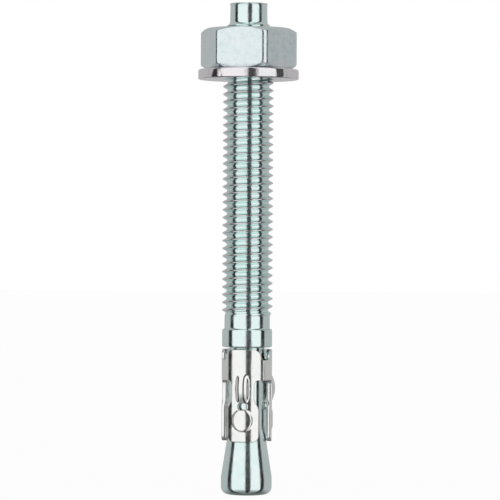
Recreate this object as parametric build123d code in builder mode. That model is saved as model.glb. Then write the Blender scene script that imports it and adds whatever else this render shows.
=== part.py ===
from build123d import *
import os
from math import atan2, cos, degrees, floor, pi, radians, sin, sqrt, tan

# Wedge anchor for a 10 mm hole, standing on its cone end. Millimetres, +Z up.
# The origin is at the middle of the foot. The viewer stands on the -Y side.

# Thread, as rings of flat sides: their helix and their round are left out
thread_radius = 4.925
thread_root_radius = 4.08
thread_pitch = 1.5
thread_sides = 10
blank_radius = 4.42

# Bolt, from the foot upwards
bolt_length = 95.6
land_radius = 4.95
land_top = 3.4
foot_chamfer = 1.1
foot_chamfer_reach = 0.45
cone_half_angle = 8.85
neck_radius = 3.4
collar_radius = 4.87
collar_height = 3.5
collar_chamfer = 0.25
plain_shank = 2.4
stub_length = 3.9
stub_base_radius = 3.64
stub_top_radius = 3.58
burr_radius = 3.73
burr_height = 0.35
point_half_angle = 53

# Expansion sleeve
sleeve_outer_radius = 4.9
sheet_thickness = 0.95
sleeve_bottom = 10.4
sleeve_height = 17.9
collar_gap = 0.4
leaf_count = 3
front_leaf_azimuth = -11
paddle_half_angle = 39.3
stem_half_angle = 28
paddle_top = 6.2
stem_bottom = 8.4
slot_top = 11.9
slot_round = 0.9
paddle_corner_share = 0.245
notch_depth = 2.1
notch_half_angle_low = 10
notch_half_angle_high = 21
notch_round = 0.6
tab_round = 1.0
seam_offset_angle = -8
seam_width = 0.12

# Pressed forms of each leaf
rib_width = 2.5
rib_height = 0.95
rib_bottom = 7.5
rib_top = 13.1
rib_chamfer = 0.7
window_width = 1.9
window_height = 1.3
pad_width = 4.2
pad_bottom = 1.9
pad_height = 0.22

# Washer and nut
washer_outer_radius = 9.8
washer_hole_radius = 5.25
washer_thickness = 1.93
washer_chamfer = 0.25
nut_across_flats = 16.8
nut_height = 8.0
nut_corner_round = 1.4
nut_face_azimuth = -10.7
nut_chamfer_angle = 30
nut_chamfer_radius = 8.1
nut_mouth_radius = 5.4
nut_bore_clearance = 0.05
rod_above_nut = 4.9

# Heights that follow from the sizes above
neck_bottom = land_top + (land_radius - neck_radius) / tan(radians(cone_half_angle))
collar_bottom = sleeve_bottom + sleeve_height + collar_gap
collar_top = collar_bottom + collar_height
thread_bottom = collar_top + plain_shank
stub_bottom = bolt_length - stub_length
point_height = (thread_root_radius - stub_base_radius) / tan(radians(point_half_angle))
point_bottom = stub_bottom - point_height
thread_turns = floor((point_bottom - thread_bottom) / thread_pitch)
thread_top = thread_bottom + thread_turns * thread_pitch
nut_top = bolt_length - rod_above_nut
nut_bottom = nut_top - nut_height
washer_bottom = nut_bottom - washer_thickness
leaf_pitch = 360 / leaf_count
sleeve_inner_radius = sleeve_outer_radius - sheet_thickness
sleeve_top = sleeve_bottom + sleeve_height
paddle_corner = paddle_corner_share * sleeve_outer_radius
window_middle = rib_bottom - window_height / 2


def turned(outline):
    """A solid turned about Z from the (radius, height) corners of its right half."""
    with BuildPart() as solid:
        with BuildSketch(Plane.XZ):
            with BuildLine():
                Polyline((0, outline[0][1]), *outline, (0, outline[-1][1]), close=True)
            make_face()
        revolve(axis=Axis.Z)
    return solid.part


def bolt():
    """The rod: foot, cone, neck, collar, plain shank, threaded shank and stub."""
    shank = turned(
        [
            (land_radius - foot_chamfer, 0),
            (land_radius - foot_chamfer_reach, foot_chamfer_reach),
            (land_radius, foot_chamfer),
            (land_radius, land_top),
            (neck_radius, neck_bottom),
            (neck_radius, collar_bottom),
            (collar_radius - collar_chamfer, collar_bottom),
            (collar_radius, collar_bottom + collar_chamfer),
            (collar_radius, collar_top - collar_chamfer),
            (collar_radius - collar_chamfer, collar_top),
            (blank_radius, collar_top),
            (blank_radius, thread_bottom),
        ]
    )
    stub = turned(
        [
            (thread_root_radius, thread_top),
            (thread_root_radius, point_bottom),
            (stub_base_radius, stub_bottom),
            (stub_top_radius, bolt_length - burr_height),
            (burr_radius, bolt_length - burr_height / 2),
            (stub_top_radius, bolt_length),
        ]
    )
    with BuildPart() as rod:
        add(shank)
        add(threaded_shank())
        add(stub)
    return rod.part


def threaded_shank():
    """The thread as rings: a crest half-way between each two roots, one turn of pitch apart."""
    flank_height = thread_pitch / 2
    flat_drop = (thread_radius - thread_root_radius) * cos(pi / thread_sides)
    flank_angle = degrees(atan2(flat_drop, flank_height))
    with BuildPart() as upper_flank:
        with BuildSketch():
            RegularPolygon(thread_radius, thread_sides)
        extrude(amount=flank_height, taper=flank_angle)
    ring = upper_flank.part + upper_flank.part.rotate(Axis.X, 180)
    crests = [thread_bottom + flank_height + turn * thread_pitch for turn in range(thread_turns)]
    with BuildPart() as shank:
        with Locations([(0, 0, height) for height in crests]):
            add(ring)
    return shank.part


def facing_plane(reach):
    """A plane square to the view direction, as far in front of the axis as reach says."""
    return Plane(origin=(0, -reach, 0), x_dir=(1, 0, 0), z_dir=(0, -1, 0))


def radial_cutter(outline, corner_radius):
    """A cutter with radial sides. Its outline is (angle round the sleeve, height) pairs."""
    with BuildPart() as cutter:
        for reach in (sleeve_inner_radius - sheet_thickness, sleeve_outer_radius + rib_height):
            with BuildSketch(facing_plane(reach)):
                with BuildLine():
                    FilletPolyline(
                        [(reach * tan(radians(angle)), height) for angle, height in outline],
                        radius=corner_radius * reach / sleeve_outer_radius,
                        close=True,
                    )
                make_face()
        loft(ruled=True)
    return cutter.part


def mirrored(half_outline):
    """Closes the right half of an outline with its mirror image."""
    return half_outline + [(-angle, height) for angle, height in reversed(half_outline)]


def slot_cutter():
    """The space between two leaves: narrow between the paddles, wide between the stems."""
    half_leaf = leaf_pitch / 2
    return radial_cutter(
        mirrored(
            [
                (half_leaf - paddle_half_angle, sleeve_bottom - 2 * slot_round),
                (half_leaf - paddle_half_angle, sleeve_bottom + paddle_top),
                (half_leaf - stem_half_angle, sleeve_bottom + stem_bottom),
                (half_leaf - stem_half_angle, sleeve_bottom + slot_top),
            ]
        ),
        slot_round,
    )


def notch_cutter():
    """The notch in the top edge above each slot, its sides carried on past the edge."""
    widening = notch_half_angle_high - notch_half_angle_low
    return radial_cutter(
        mirrored(
            [
                (notch_half_angle_low, sleeve_top - notch_depth),
                (notch_half_angle_high + widening, sleeve_top + notch_depth),
            ]
        ),
        notch_round,
    )


def rib(base_radius, inset):
    """A leaf's rib at azimuth 0, bulging out from a cylinder. Inset makes it smaller at the sides."""
    low = sleeve_bottom + rib_bottom + inset
    high = sleeve_bottom + rib_top - inset
    root_radius = base_radius - sheet_thickness / 2
    with BuildPart() as bar:
        with BuildSketch(Plane(origin=(0, 0, 0), x_dir=(0, -1, 0), z_dir=(-1, 0, 0))):
            with BuildLine():
                ThreePointArc(
                    (base_radius, low),
                    (base_radius + rib_height, (low + high) / 2),
                    (base_radius, high),
                )
                Polyline(
                    (base_radius, high),
                    (root_radius, high),
                    (root_radius, low),
                    (base_radius, low),
                )
            make_face()
        extrude(amount=rib_width / 2 - inset, both=True)
    return bar.part


def pad():
    """The raised oval of a leaf's paddle, at azimuth 0, between its foot and the window."""
    pad_top = window_middle - window_height / 2
    centre_height = sleeve_bottom + (pad_bottom + pad_top) / 2
    with BuildPart() as oval:
        with BuildSketch(Plane.XY.offset(sleeve_bottom)):
            Circle(sleeve_outer_radius + pad_height)
            Circle(sleeve_inner_radius + sheet_thickness / 2, mode=Mode.SUBTRACT)
        extrude(amount=stem_bottom)
        with BuildSketch(facing_plane(0)):
            with Locations((0, centre_height)):
                Ellipse(pad_width / 2, (pad_top - pad_bottom) / 2)
        extrude(amount=sleeve_outer_radius * 2, mode=Mode.INTERSECT)
    return oval.part


def expansion_sleeve():
    """One strip of sheet, punched, pressed and wrapped round the neck."""
    slots = slot_cutter()
    notches = notch_cutter()
    ribs = rib(sleeve_outer_radius, 0)
    rib_crest = ribs.faces().filter_by(GeomType.CYLINDER).edges().filter_by(GeomType.CIRCLE)
    ribs = chamfer(rib_crest, rib_chamfer)
    rib_hollows = rib(sleeve_inner_radius, sheet_thickness / 2)
    pads = pad()
    first_slot = front_leaf_azimuth + leaf_pitch / 2
    with BuildPart() as sleeve:
        with BuildSketch(Plane.XY.offset(sleeve_bottom)):
            Circle(sleeve_outer_radius)
            Circle(sleeve_inner_radius, mode=Mode.SUBTRACT)
        extrude(amount=sleeve_height)
        with PolarLocations(0, leaf_count, start_angle=first_slot):
            add(slots, mode=Mode.SUBTRACT)
            add(notches, mode=Mode.SUBTRACT)
        foot_edges = sleeve.edges().group_by(Axis.Z)[0]
        fillet(foot_edges.group_by(SortBy.LENGTH)[0], paddle_corner)
        top_edges = sleeve.edges().group_by(Axis.Z)[-1]
        fillet(top_edges.group_by(SortBy.LENGTH)[0], tab_round)
        with PolarLocations(0, leaf_count, start_angle=front_leaf_azimuth):
            add(ribs)
            add(pads)
            add(rib_hollows, mode=Mode.SUBTRACT)
        for leaf in range(leaf_count):
            azimuth = front_leaf_azimuth + leaf * leaf_pitch
            with BuildSketch(azimuth_plane(azimuth)):
                with Locations((0, sleeve_bottom + window_middle)):
                    SlotOverall(window_width, window_height)
            extrude(amount=sleeve_outer_radius * 2, mode=Mode.SUBTRACT)
        with BuildSketch(azimuth_plane(first_slot + seam_offset_angle)):
            with Locations((0, sleeve_bottom + (slot_top + sleeve_height) / 2)):
                Rectangle(seam_width, sleeve_height - slot_top)
        extrude(amount=sleeve_outer_radius * 2, mode=Mode.SUBTRACT)
    return sleeve.part


def azimuth_plane(azimuth):
    """A plane through the axis, square to the ray at an azimuth, with its Y axis up."""
    turn = radians(azimuth)
    return Plane(origin=(0, 0, 0), x_dir=(cos(turn), sin(turn), 0), z_dir=(sin(turn), -cos(turn), 0))


def washer():
    """A flat punched ring under the nut."""
    with BuildPart() as ring:
        with BuildSketch(Plane.XY.offset(washer_bottom)):
            Circle(washer_outer_radius)
            Circle(washer_hole_radius, mode=Mode.SUBTRACT)
        extrude(amount=washer_thickness)
        rims = ring.edges().filter_by(GeomType.CIRCLE).group_by(SortBy.RADIUS)
        chamfer(rims[-1], washer_chamfer)
    return ring.part


def hex_nut():
    """A hexagon nut with both faces chamfered, and its bore clear of the thread's crests."""
    bore_radius = thread_radius + nut_bore_clearance
    corner_radius = nut_across_flats / sqrt(3)
    chamfer_height = (corner_radius - nut_chamfer_radius) * tan(radians(nut_chamfer_angle))
    mouth_depth = nut_mouth_radius - bore_radius
    with BuildPart() as nut:
        with BuildSketch(Plane.XY.offset(nut_bottom)):
            RegularPolygon(
                nut_across_flats / 2, 6, major_radius=False, rotation=nut_face_azimuth
            )
        extrude(amount=nut_height)
        fillet(nut.edges().filter_by(Axis.Z), nut_corner_round)
        with BuildSketch(Plane.XZ):
            with BuildLine():
                Polyline(
                    (nut_mouth_radius, nut_bottom),
                    (nut_chamfer_radius, nut_bottom),
                    (corner_radius, nut_bottom + chamfer_height),
                    (corner_radius, nut_top - chamfer_height),
                    (nut_chamfer_radius, nut_top),
                    (nut_mouth_radius, nut_top),
                    (bore_radius, nut_top - mouth_depth),
                    (bore_radius, nut_bottom + mouth_depth),
                    close=True,
                )
            make_face()
        revolve(axis=Axis.Z, mode=Mode.INTERSECT)
    return nut.part


os.makedirs("parts", exist_ok=True)
pieces = {
    "anchor_bolt": bolt(),
    "expansion_sleeve": expansion_sleeve(),
    "washer": washer(),
    "hex_nut": hex_nut(),
}
for name, piece in pieces.items():
    piece.label = name
    export_step(piece, f"parts/{name}.step")
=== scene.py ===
import bmesh
import bpy
from math import atan, atan2, cos, floor, hypot, pi, radians, sin, sqrt, tan
from mathutils import Matrix, Vector, noise


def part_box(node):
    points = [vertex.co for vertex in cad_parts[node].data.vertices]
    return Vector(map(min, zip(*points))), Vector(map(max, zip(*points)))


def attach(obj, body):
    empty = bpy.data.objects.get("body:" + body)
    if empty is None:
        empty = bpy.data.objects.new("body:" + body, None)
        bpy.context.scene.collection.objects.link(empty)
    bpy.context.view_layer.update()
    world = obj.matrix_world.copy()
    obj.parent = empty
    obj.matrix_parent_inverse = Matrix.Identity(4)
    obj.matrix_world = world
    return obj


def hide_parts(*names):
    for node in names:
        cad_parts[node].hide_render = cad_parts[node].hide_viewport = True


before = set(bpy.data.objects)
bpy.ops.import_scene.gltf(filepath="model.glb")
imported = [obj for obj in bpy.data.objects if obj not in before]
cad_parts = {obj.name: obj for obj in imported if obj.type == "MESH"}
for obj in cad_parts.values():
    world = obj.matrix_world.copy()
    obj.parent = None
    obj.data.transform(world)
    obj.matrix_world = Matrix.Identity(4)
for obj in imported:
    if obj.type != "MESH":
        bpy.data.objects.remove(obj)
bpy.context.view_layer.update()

# Lengths are written in millimetres and angles in degrees. MM turns a length into metres.
MM = 0.001

# Heights that the frame gives
bolt_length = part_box("anchor_bolt")[1][2] / MM
sleeve_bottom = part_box("expansion_sleeve")[0][2] / MM
sleeve_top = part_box("expansion_sleeve")[1][2] / MM
washer_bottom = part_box("washer")[0][2] / MM
washer_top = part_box("washer")[1][2] / MM
washer_outer_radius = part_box("washer")[1][0] / MM
nut_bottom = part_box("hex_nut")[0][2] / MM
nut_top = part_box("hex_nut")[1][2] / MM

# Bolt
land_radius = 4.95
land_top = 3.4
foot_round = 1.5
cone_half_angle = 8.85
neck_radius = 3.4
collar_radius = 4.87
collar_bottom = sleeve_top + 0.4
collar_top = collar_bottom + 3.5
blank_radius = 4.42
stub_bottom = bolt_length - 3.9
stub_base_radius = 3.64
stub_top_radius = 3.58
burr_radius = 3.73
burr_height = 0.35
point_half_angle = 53

# Thread: radii, pitch, and the height of a crest on the +X side
crest_radius = 4.925
root_radius = 4.08
pitch = 1.5
crest_height = 0.64
thread_bottom = collar_top + 2.4
run_out = 1.3
nut_crest_radius = 4.25
nut_thread_gap = 0.09

# Washer and nut
washer_hole_radius = 5.25
washer_edge_round = 0.3
nut_across_flats = 16.8
nut_corner_round = 1.4
nut_face_azimuth = -10.7
nut_chamfer_angle = 30
nut_chamfer_radius = 8.1
nut_mouth_radius = 5.4
nut_thread_start = 0.3

# Sleeve, its heights measured from its lower edge
sleeve_outer_radius = 4.9
sheet_thickness = 0.95
leaf_count = 3
front_leaf_azimuth = -11
paddle_half_angle = 39.3
stem_half_angle = 28
paddle_top = 6.2
stem_bottom = 8.4
slot_top = 11.9
slot_round = 0.9
paddle_corner = 1.2
notch_depth = 2.1
notch_half_angle_low = 10
notch_half_angle_high = 21
notch_round = 0.6
tab_round = 1.0
seam_offset_angle = -8
seam_width = 0.12
rib_half_width = 1.3
rib_height = 0.92
rib_bottom = 7.5
rib_top = 13.1
window_width = 1.9
window_height = 1.3
pad_half_width = 2.1
pad_bottom = 1.9
pad_height = 0.2
pad_edge = 0.35
sheet_cell = 0.16
sheet_edge_round = 0.1
sheet_dent = 0.015
sheet_dents_per_mm = 0.35

# Light: panels of the studio as (start, end, level), by angle round the object from the viewer
light_panels = [
    (-180, -94, 0.5),
    (-94, -72, 0.03),
    (-72, -5, 1.0),
    (-5, 20, 0.07),
    (20, 67, 1.0),
    (67, 88, 0.03),
    (88, 180, 0.5),
]
panel_blur = 1.5

# Below this slope the panels fade to the level of the ground, seen in the foot's round
fade_start = -0.35
fade_end = -0.75
ground_level = 0.3
floor_side = 3000
floor_glow = 0.96

# Fineness of the meshes
round_segments = 96
thread_segments = 84
nut_segments = 360
nut_side_rows = 5
nut_edge_soft = 0.12
seam_band = 0.05
rim_dent = 0.12

# Plating: the colours that its patches run through
rod_tints = ((0.72, 0.89, 0.86), (0.78, 0.91, 0.90), (0.83, 0.91, 0.91))
sheet_tints = ((0.84, 0.88, 0.88), (0.91, 0.92, 0.90), (0.92, 0.89, 0.90))
washer_tints = ((0.80, 0.82, 0.84), (0.86, 0.83, 0.86), (0.88, 0.84, 0.87))
nut_tints = ((0.74, 0.85, 0.87), (0.78, 0.86, 0.88), (0.82, 0.87, 0.88))
crest_tint = (0.82, 0.78, 0.78)

# Plating: patterns in waves a metre, and how high the grain stands
patch_waves = 260
polish_waves = 900
grain_waves = 5200
ripple_waves = 700
grain_height = 0.02
ripple_height = 0.06

# The rolled crests look pinkish from this radius outwards, above the plain shank
crest_tint_start = 4.72
crest_tint_end = 4.9

# Camera
picture_side = 500
pixels_per_mm = 5.133
foot_row = 494.3
axis_column = 247.55
eye_distance = 610
lean = 0.32


def rounded_profile(corners, steps=6):
    """Turns (radius, height, rounding) corners into points, each rounding as an arc."""
    points = []
    last = len(corners) - 1
    for index, (r, z, rounding) in enumerate(corners):
        corner = Vector((r, z))
        if rounding == 0 or index in (0, last):
            points.append(corner)
            continue
        before = (Vector(corners[index - 1][:2]) - corner).normalized()
        after = (Vector(corners[index + 1][:2]) - corner).normalized()
        half_angle = before.angle(after) / 2
        reach = rounding / tan(half_angle)
        centre = corner + (before + after).normalized() * (rounding / sin(half_angle))
        start = corner + before * reach - centre
        turn = start.angle_signed(corner + after * reach - centre)
        for step in range(steps + 1):
            points.append(centre + Matrix.Rotation(-turn * step / steps, 2) @ start)
    return [(point.x, point.y) for point in points]


def new_vertex(bm, radius, turn, height):
    """A vertex given by its radius and height in millimetres and its angle in radians."""
    return bm.verts.new((radius * cos(turn) * MM, radius * sin(turn) * MM, height * MM))


def skin(bm, rings):
    """Joins each ring of vertices to the next with quads."""
    for lower, upper in zip(rings, rings[1:]):
        count = len(lower)
        for i in range(count):
            bm.faces.new((lower[i], lower[(i + 1) % count], upper[(i + 1) % count], upper[i]))


def revolve(bm, points, segments):
    """Revolves an outline about Z. A point on the axis closes that end with a fan."""
    rings = []
    for radius, height in points:
        if radius == 0:
            continue
        rings.append([new_vertex(bm, radius, 2 * pi * i / segments, height) for i in range(segments)])
    skin(bm, rings)
    for end, ring in ((points[0], rings[0]), (points[-1], rings[-1])):
        if end[0] > 0:
            continue
        middle = new_vertex(bm, 0, 0, end[1])
        for i in range(segments):
            bm.faces.new((middle, ring[i], ring[(i + 1) % segments]))
    return rings


def finish_mesh(bm, name, node, body, material, sharp_angle=40):
    """Turns a bmesh into the piece that stands for a node of the frame."""
    bmesh.ops.remove_doubles(bm, verts=bm.verts, dist=0.0005 * MM)
    bmesh.ops.recalc_face_normals(bm, faces=bm.faces)
    mesh = bpy.data.meshes.new(name)
    bm.to_mesh(mesh)
    bm.free()
    mesh.shade_smooth()
    mesh.set_sharp_from_angle(angle=radians(sharp_angle))
    piece = bpy.data.objects.new(name, mesh)
    bpy.context.scene.collection.objects.link(piece)
    mesh.materials.append(material)
    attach(piece, body)
    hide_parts(node)
    return piece


# Half of one thread ridge: (share of the pitch from the crest, share of the depth left)
ridge = [(0, 1), (0.04, 0.99), (0.07, 0.945), (0.1, 0.88), (0.22, 0.496), (0.34, 0.112)]
ridge += [(0.37, 0.045), (0.41, 0.006), (0.46, 0)]


def ridge_points():
    """One whole pitch of the thread, from root to root, as (share of pitch, share of depth)."""
    rising = [(-share, depth) for share, depth in reversed(ridge)]
    return rising + ridge[1:]


def thread_tube(bm, radius_at, low, high, segments):
    """A helical skin between two heights, the first thing in bm: it is cut off at both.

    Its radius is radius_at(share of depth, height).
    """
    shape = ridge_points()
    first_turn = floor((low - crest_height) / pitch) - 2
    last_turn = floor((high - crest_height) / pitch) + 3
    columns = []
    for i in range(segments):
        column = []
        for turn in range(first_turn, last_turn):
            for share, depth in shape:
                height = crest_height + (turn + share + i / segments) * pitch
                column.append(new_vertex(bm, radius_at(depth, height), 2 * pi * i / segments, height))
        columns.append(column)
    for i, column in enumerate(columns):
        following = columns[(i + 1) % segments]
        shift = len(shape) if i == segments - 1 else 0
        for j in range(len(column) - 1 - shift):
            bm.faces.new((column[j], following[j + shift], following[j + shift + 1], column[j + 1]))
    for height, outward in ((low, -1), (high, 1)):
        bmesh.ops.bisect_plane(
            bm,
            geom=bm.verts[:] + bm.edges[:] + bm.faces[:],
            plane_co=(0, 0, height * MM),
            plane_no=(0, 0, outward),
            clear_outer=True,
        )


def bridge_open_rings(bm, low, high):
    """Closes the gap between the open rings that lie between two heights."""
    edges = [
        edge
        for edge in bm.edges
        if edge.is_boundary and all(low * MM < vert.co.z < high * MM for vert in edge.verts)
    ]
    bmesh.ops.bridge_loops(bm, edges=edges)


def smooth_step(value):
    """Runs smoothly from 0 to 1 as its value does."""
    value = min(max(value, 0), 1)
    return value * value * (3 - 2 * value)


def anchor_bolt(material):
    """The rod with its true thread."""
    neck_bottom = land_top + (land_radius - neck_radius) / tan(radians(cone_half_angle))
    foot = rounded_profile(
        [
            (0, 0, 0),
            (land_radius, 0, foot_round),
            (land_radius, land_top, 1.5),
            (neck_radius, neck_bottom, 2),
            (neck_radius, collar_bottom, 0.2),
            (collar_radius, collar_bottom, 0.3),
            (collar_radius, collar_top, 0.25),
            (blank_radius, collar_top, 0.3),
            (blank_radius, thread_bottom - seam_band, 0),
        ]
    )
    slope = tan(radians(point_half_angle))
    point_start = stub_bottom - (root_radius - seam_band - stub_base_radius) / slope
    top = rounded_profile(
        [
            (root_radius - 2 * seam_band, point_start + seam_band / slope, 0),
            (stub_base_radius, stub_bottom, 0.7),
            (stub_top_radius, bolt_length - burr_height, 0.5),
            (burr_radius, bolt_length - burr_height / 2, 0.12),
            (stub_top_radius, bolt_length, 0.06),
            (0, bolt_length, 0),
        ]
    )

    def radius_at(depth, height):
        thread = root_radius + depth * (crest_radius - root_radius)
        grown = smooth_step((height - thread_bottom) / run_out)
        thread = blank_radius + grown * (thread - blank_radius)
        return min(thread, stub_base_radius + max(stub_bottom - height, 0) * slope)

    bm = bmesh.new()
    thread_tube(bm, radius_at, thread_bottom, point_start, thread_segments)
    revolve(bm, foot, round_segments)
    revolve(bm, top, round_segments)
    bridge_open_rings(bm, thread_bottom - 2 * seam_band, thread_bottom + seam_band)
    bridge_open_rings(bm, point_start - seam_band, point_start + 2 * seam_band)
    return finish_mesh(bm, "threaded_rod", "anchor_bolt", "rod", material)


def washer(material):
    """The punched ring, its edges rounded and its rim a little uneven."""
    outline = rounded_profile(
        [
            (washer_hole_radius, (washer_bottom + washer_top) / 2, 0),
            (washer_hole_radius, washer_bottom, 0.2),
            (washer_outer_radius, washer_bottom, washer_edge_round),
            (washer_outer_radius, washer_top, washer_edge_round),
            (washer_hole_radius, washer_top, 0.15),
            (washer_hole_radius, (washer_bottom + washer_top) / 2, 0),
        ]
    )
    bm = bmesh.new()
    revolve(bm, outline, 2 * round_segments)
    for vert in bm.verts:
        away = vert.co.xy.length / MM
        if away > washer_outer_radius - 1:
            push = rim_dent * min(noise.noise(vert.co / MM * 0.9), 0)
            vert.co.xy *= 1 + push / away
    return finish_mesh(bm, "flat_washer", "washer", "washer_ring", material)


def hexagon_radius(turn):
    """Distance from the axis to the nut's side at an angle in radians, its corners rounded."""
    half_flats = nut_across_flats / 2
    from_flat = (turn - radians(nut_face_azimuth - 90)) % (pi / 3)
    if from_flat > pi / 6:
        from_flat = pi / 3 - from_flat
    corner_centre = (half_flats - nut_corner_round) / cos(pi / 6)
    flat_end = atan2(corner_centre * sin(pi / 6), half_flats)
    if from_flat < flat_end:
        return half_flats / cos(from_flat)
    off = pi / 6 - from_flat
    return corner_centre * cos(off) + sqrt(nut_corner_round**2 - (corner_centre * sin(off)) ** 2)


def hex_nut(material):
    """The nut: hexagon sides, a chamfer at both faces, and a thread that meshes with the rod's."""
    slope = tan(radians(nut_chamfer_angle))
    soft = nut_edge_soft
    mouth = (crest_radius + nut_thread_gap + 2 * seam_band, nut_thread_start - seam_band)
    mouth_slope = (nut_mouth_radius - mouth[0]) / mouth[1]

    def radius_at(depth, height):
        outer = root_radius + depth * (crest_radius - root_radius) + nut_thread_gap
        from_face = min(height - nut_bottom, nut_top - height)
        cone = nut_mouth_radius - from_face * mouth_slope
        return max(outer, nut_crest_radius, cone)

    low = nut_bottom + nut_thread_start
    high = nut_top - nut_thread_start
    bm = bmesh.new()
    thread_tube(bm, radius_at, low, high, thread_segments)
    for face_height, inward in ((nut_bottom, 1), (nut_top, -1)):
        levels = []
        for level in range(5 + nut_side_rows):
            ring = []
            for i in range(nut_segments):
                turn = 2 * pi * i / nut_segments
                side = hexagon_radius(turn)
                drop = (side - nut_chamfer_radius) * slope
                middle = (nut_top - nut_bottom) / 2
                if level == 0:
                    radius, depth = mouth
                elif level == 1:
                    radius, depth = nut_mouth_radius, 0
                elif level == 2:
                    radius, depth = nut_chamfer_radius - soft, 0
                elif level == 3:
                    radius, depth = nut_chamfer_radius + soft, soft * slope
                elif level == 4:
                    radius, depth = side - soft, drop - soft * slope
                else:
                    share = (level - 5) / (nut_side_rows - 1)
                    radius, depth = side, drop + soft + share * (middle - drop - soft)
                ring.append(new_vertex(bm, radius, turn, face_height + inward * depth))
            levels.append(ring)
        skin(bm, levels)
    bridge_open_rings(bm, low - 2 * seam_band, low + seam_band)
    bridge_open_rings(bm, high - seam_band, high + 2 * seam_band)
    return finish_mesh(bm, "hexagon_nut", "hex_nut", "nut", material)


def rounded_meet(first, second, rounding):
    """Where two distances meet, both negative inside, with the outer corner rounded."""
    inside = min(max(first, second), -rounding)
    return inside + hypot(max(first + rounding, 0), max(second + rounding, 0))


def arc_length(angle):
    """Length round the sleeve's outer face of an angle in degrees."""
    return radians(angle) * sleeve_outer_radius


def nearest(x, first, step):
    """How far x is from the nearest of a row of places that repeat round the sleeve."""
    return (x - first + step / 2) % step - step / 2


def sheet_edge(x, v):
    """Distance to the edge of the sheet, negative in the metal. x runs round it from the seam."""
    height = sleeve_top - sleeve_bottom
    across = abs(nearest(x, first_slot_x, leaf_step))
    half_leaf = leaf_step / 2
    narrow = half_leaf - arc_length(paddle_half_angle)
    wide = half_leaf - arc_length(stem_half_angle)
    growth = smooth_step((v - paddle_top) / (stem_bottom - paddle_top))
    slot = rounded_meet(across - narrow - growth * (wide - narrow), v - slot_top, slot_round)
    flare = (v - height + notch_depth) / notch_depth
    low, high = arc_length(notch_half_angle_low), arc_length(notch_half_angle_high)
    slant = cos(atan((high - low) / notch_depth))
    side = (across - low - flare * (high - low)) * slant
    notch = rounded_meet(side, height - notch_depth - v, notch_round)
    edge = max(rounded_meet(-slot, -v, paddle_corner), rounded_meet(-notch, v - height, tab_round))
    half_straight = (window_width - window_height) / 2
    window_end = max(abs(nearest(x, first_slot_x + half_leaf, leaf_step)) - half_straight, 0)
    window = hypot(window_end, v - window_middle) - window_height / 2
    return max(edge, -window, -x, x - strip_length)


def pressed_height(x, v):
    """How far the sheet is pressed outwards: the rib and the oval pad of the nearest leaf."""
    across = nearest(x, first_slot_x + leaf_step / 2, leaf_step)
    along = (v - (rib_bottom + rib_top) / 2) / ((rib_top - rib_bottom) / 2)
    bulge = max(1 - along * along, 0)
    half_width = rib_half_width * (0.75 + 0.25 * bulge)
    crown = max(1 - (across / half_width) ** 2, 0) ** 0.75
    rib = rib_height * bulge * crown
    pad_top = window_middle - window_height / 2 + 0.3
    pad_middle = (pad_bottom + pad_top) / 2
    from_pad = hypot(across / pad_half_width, (v - pad_middle) / (pad_top - pad_middle))
    pad = pad_height * smooth_step((1 - from_pad) * pad_half_width / pad_edge)
    return rib + pad


def sheet_point(x, v, radius):
    """A place on the wrapped sheet, in metres."""
    azimuth = seam_azimuth + x / sleeve_outer_radius
    return Vector((radius * sin(azimuth), -radius * cos(azimuth), sleeve_bottom + v)) * MM


def pulled_to_edge(x, v, target):
    """Moves a place to where the distance to the sheet's edge equals target."""
    step = 0.01
    for _ in range(4):
        off = sheet_edge(x, v) - target
        slope_x = (sheet_edge(x + step, v) - sheet_edge(x - step, v)) / (2 * step)
        slope_v = (sheet_edge(x, v + step) - sheet_edge(x, v - step)) / (2 * step)
        steepness = max(slope_x**2 + slope_v**2, 0.25)
        x -= off * slope_x / steepness
        v -= off * slope_v / steepness
    return x, v


def expansion_sleeve(material):
    """The wrapped sheet: a fine grid, cut along the sheet's outline, pressed and given thickness."""
    height = sleeve_top - sleeve_bottom
    columns = round(strip_length / sheet_cell)
    rows = round(height / sheet_cell)

    def place(i, j):
        return strip_length * i / columns, height * j / rows

    kept = {
        (i, j)
        for i in range(columns)
        for j in range(rows)
        if sheet_edge(*place(i + 0.5, j + 0.5)) < 0
    }
    rim = set()
    for i, j in kept:
        corners = [(i, j), (i + 1, j), (i + 1, j + 1), (i, j + 1)]
        sides = zip(corners, corners[1:] + corners[:1])
        beside = [(i, j - 1), (i + 1, j), (i, j + 1), (i - 1, j)]
        for side, neighbour in zip(sides, beside):
            if neighbour not in kept:
                rim.add(side)
    rim_places = {index for side in rim for index in side}
    bm = bmesh.new()
    layers = {}

    def vertex(index, layer):
        if (index, layer) not in layers:
            x, v = place(*index)
            if index in rim_places:
                target = -sheet_edge_round if layer in ("outer", "inner") else 0
                x, v = pulled_to_edge(x, v, target)
            lift = pressed_height(x, v)
            dent = sheet_dent * noise.noise(Vector((x, v, 0)) * sheet_dents_per_mm)
            outer = sleeve_outer_radius + lift + dent
            inner = sleeve_outer_radius - sheet_thickness + 0.75 * lift
            radius = {
                "outer": outer,
                "outer_wall": outer - sheet_edge_round,
                "inner_wall": inner + sheet_edge_round,
                "inner": inner,
            }[layer]
            layers[index, layer] = bm.verts.new(sheet_point(x, v, radius))
        return layers[index, layer]

    for i, j in kept:
        corners = [(i, j), (i + 1, j), (i + 1, j + 1), (i, j + 1)]
        bm.faces.new([vertex(corner, "outer") for corner in corners])
        bm.faces.new([vertex(corner, "inner") for corner in reversed(corners)])
    wall = ["outer", "outer_wall", "inner_wall", "inner"]
    for start, end in rim:
        for upper, lower in zip(wall, wall[1:]):
            bm.faces.new((vertex(end, upper), vertex(start, upper), vertex(start, lower), vertex(end, lower)))
    return finish_mesh(bm, "wrapped_sleeve", "expansion_sleeve", "sleeve", material, 60)


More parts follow.
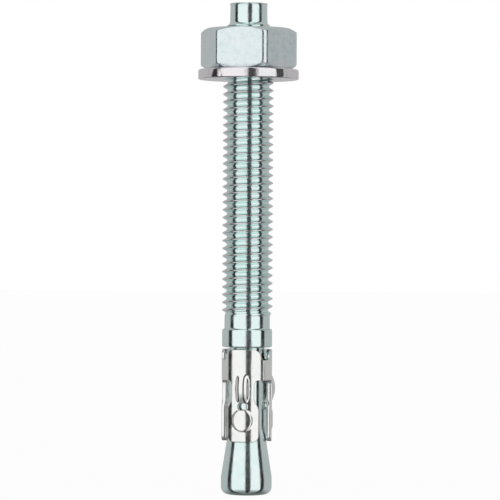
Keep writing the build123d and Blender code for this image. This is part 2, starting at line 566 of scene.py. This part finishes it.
class Nodes:
    """Builds the nodes of a material or of the world with few words."""

    def __init__(self, owner):
        owner.use_nodes = True
        self.tree = owner.node_tree
        self.tree.nodes.clear()

    def add(self, kind, settings=(), **inputs):
        """Adds a node. Inputs go by name, or by number as _0, and are values or other outputs."""
        node = self.tree.nodes.new("ShaderNode" + kind)
        for key, value in dict(settings).items():
            setattr(node, key, value)
        for key, value in inputs.items():
            socket = node.inputs[int(key[1:]) if key[0] == "_" else key.replace("_", " ")]
            if isinstance(value, bpy.types.NodeSocket):
                self.tree.links.new(value, socket)
            else:
                socket.default_value = value
        return node

    def math(self, operation, first, second):
        """Works out one sum."""
        return self.add("Math", {"operation": operation}, _0=first, _1=second).outputs[0]

    def blend(self, share, first, second):
        """Mixes two shaders, all the second where share is 1."""
        return self.add("MixShader", _0=share, _1=first.outputs[0], _2=second.outputs[0])

    def noise(self, where, scale, detail=3):
        """A smooth random pattern with a given number of waves a metre."""
        return self.add("TexNoise", Vector=where, Scale=scale, Detail=detail).outputs["Fac"]

    def ramp(self, value, stops):
        """Turns a value into a colour by (place, colour) stops."""
        node = self.add("ValToRGB", Fac=value)
        while len(node.color_ramp.elements) < len(stops):
            node.color_ramp.elements.new(1)
        for element, (position, colour) in zip(node.color_ramp.elements, stops):
            element.position = position
            element.color = (*colour, 1)
        return node.outputs["Color"]

    def spread(self, value, low, high, to_low, to_high):
        """Maps one range of numbers to another, held at its ends."""
        return self.add("MapRange", _0=value, _1=low, _2=high, _3=to_low, _4=to_high).outputs[0]


def zinc(name, tints, crest_tint=None, roughness=(0.08, 0.2), grain=0.25):
    """Bright zinc plating: patches of tint, uneven polish and a fine grain."""
    material = bpy.data.materials.new(name)
    nodes = Nodes(material)
    where = nodes.add("TexCoord").outputs["Object"]
    colour = nodes.ramp(nodes.noise(where, patch_waves, 4), list(zip((0.3, 0.5, 0.7), tints)))
    if crest_tint:
        amount = crest_share(nodes, where)
        mix = nodes.add("Mix", {"data_type": "RGBA"}, _0=amount, _6=colour, _7=(*crest_tint, 1))
        colour = mix.outputs[2]
    polish = nodes.spread(nodes.noise(where, polish_waves), 0.35, 0.65, *roughness)
    fine = nodes.noise(where, grain_waves, 2)
    first = nodes.add("Bump", Strength=grain, Distance=grain_height * MM, Height=fine)
    bump = nodes.add(
        "Bump",
        Strength=grain,
        Distance=ripple_height * MM,
        Height=nodes.noise(where, ripple_waves, 2),
        Normal=first.outputs[0],
    )
    shader = nodes.add(
        "BsdfPrincipled", Metallic=1.0, Base_Color=colour, Roughness=polish, Normal=bump.outputs[0]
    )
    nodes.add("OutputMaterial", Surface=shader.outputs[0])
    return material


def crest_share(nodes, where):
    """How much of the crests' tint a place gets: none in the grooves or below the thread."""
    split = nodes.add("SeparateXYZ", Vector=where)
    flat = nodes.add("CombineXYZ", X=split.outputs["X"], Y=split.outputs["Y"])
    away = nodes.add("VectorMath", {"operation": "LENGTH"}, _0=flat.outputs[0]).outputs["Value"]
    at_crest = nodes.spread(away, crest_tint_start * MM, crest_tint_end * MM, 0, 0.8)
    thread_end = thread_bottom + run_out
    above = nodes.spread(split.outputs["Z"], thread_bottom * MM, thread_end * MM, 0, 1)
    return nodes.math("MULTIPLY", at_crest, above)


def studio_light():
    """A world of upright panels round the object, white where the camera looks past it."""
    world = bpy.data.worlds.new("studio")
    bpy.context.scene.world = world
    nodes = Nodes(world)
    where = nodes.add("TexCoord").outputs["Generated"]
    split = nodes.add("SeparateXYZ", Vector=where)
    toward_viewer = nodes.math("MULTIPLY", split.outputs["Y"], -1)
    azimuth = nodes.math("ARCTAN2", split.outputs["X"], toward_viewer)
    stops = []
    for start, end, level in light_panels:
        for angle in (start + panel_blur, end - panel_blur):
            stops.append(((angle + 180) / 360, (level, level, level)))
    panel_level = nodes.ramp(nodes.spread(azimuth, -pi, pi, 0, 1), stops)
    strength = nodes.spread(split.outputs["Z"], fade_end, fade_start, ground_level, 1)
    panels = nodes.add("Background", Color=panel_level, Strength=strength)
    white = nodes.add("Background", Color=(1, 1, 1, 1))
    path = nodes.add("LightPath")
    seen = nodes.blend(path.outputs["Is Camera Ray"], panels, white)
    nodes.add("OutputWorld", Surface=seen.outputs[0])


def floor_material():
    """Pale and matt, near white for the camera, and clear for reflections in the metal."""
    material = bpy.data.materials.new("pale_floor")
    nodes = Nodes(material)
    matt = nodes.add("BsdfDiffuse", Color=(0.9, 0.9, 0.9, 1))
    glow = nodes.add("Emission", Color=(1, 1, 1, 1), Strength=1.0)
    clear = nodes.add("BsdfTransparent")
    path = nodes.add("LightPath")
    glow_share = nodes.math("MULTIPLY", path.outputs["Is Camera Ray"], floor_glow)
    seen = nodes.blend(glow_share, matt, glow)
    mirrored = nodes.blend(path.outputs["Is Glossy Ray"], seen, clear)
    nodes.add("OutputMaterial", Surface=mirrored.outputs[0])
    return material


def floor_sheet():
    """A wide pale floor that keeps the object's shadow."""
    bm = bmesh.new()
    side = floor_side * MM
    corners = ((-side, -side), (side, -side), (side, side), (-side, side))
    bm.faces.new([bm.verts.new((x, y, 0)) for x, y in corners])
    mesh = bpy.data.meshes.new("floor")
    bm.to_mesh(mesh)
    bm.free()
    plate = bpy.data.objects.new("floor", mesh)
    bpy.context.scene.collection.objects.link(plate)
    mesh.materials.append(floor_material())


def camera():
    """Looks along +Y from the front, level, at the photograph's distance and framing."""
    data = bpy.data.cameras.new("camera")
    eye = bpy.data.objects.new("camera", data)
    bpy.context.scene.collection.objects.link(eye)
    seen_side = picture_side / pixels_per_mm
    centre_height = (foot_row - picture_side / 2) / pixels_per_mm
    centre_x = (picture_side / 2 - axis_column) / pixels_per_mm
    data.sensor_width = 36
    data.lens = data.sensor_width * eye_distance / seen_side
    data.clip_start = 0.01
    data.clip_end = 100
    eye.location = Vector((centre_x, -eye_distance, centre_height)) * MM
    level = Matrix.Rotation(radians(90), 3, "X")
    rolled = level @ Matrix.Rotation(radians(lean), 3, "Z")
    eye.rotation_euler = rolled.to_euler()
    bpy.context.scene.camera = eye


# Places on the unwrapped sheet that follow from the sizes above
leaf_step = arc_length(360 / leaf_count)
first_slot_x = arc_length(-seam_offset_angle)
seam_azimuth = radians(front_leaf_azimuth + 180 / leaf_count + seam_offset_angle)
seam_azimuth += seam_width / 2 / sleeve_outer_radius
strip_length = leaf_count * leaf_step - seam_width
window_middle = rib_bottom - window_height / 2

anchor_bolt(zinc("rod_zinc", rod_tints, crest_tint=crest_tint))
expansion_sleeve(zinc("sheet_zinc", sheet_tints, grain=0.2))
washer(zinc("washer_zinc", washer_tints, grain=0.4))
hex_nut(zinc("nut_zinc", nut_tints, roughness=(0.15, 0.3)))
studio_light()
floor_sheet()
camera()
bpy.context.scene.view_settings.view_transform = "Standard"
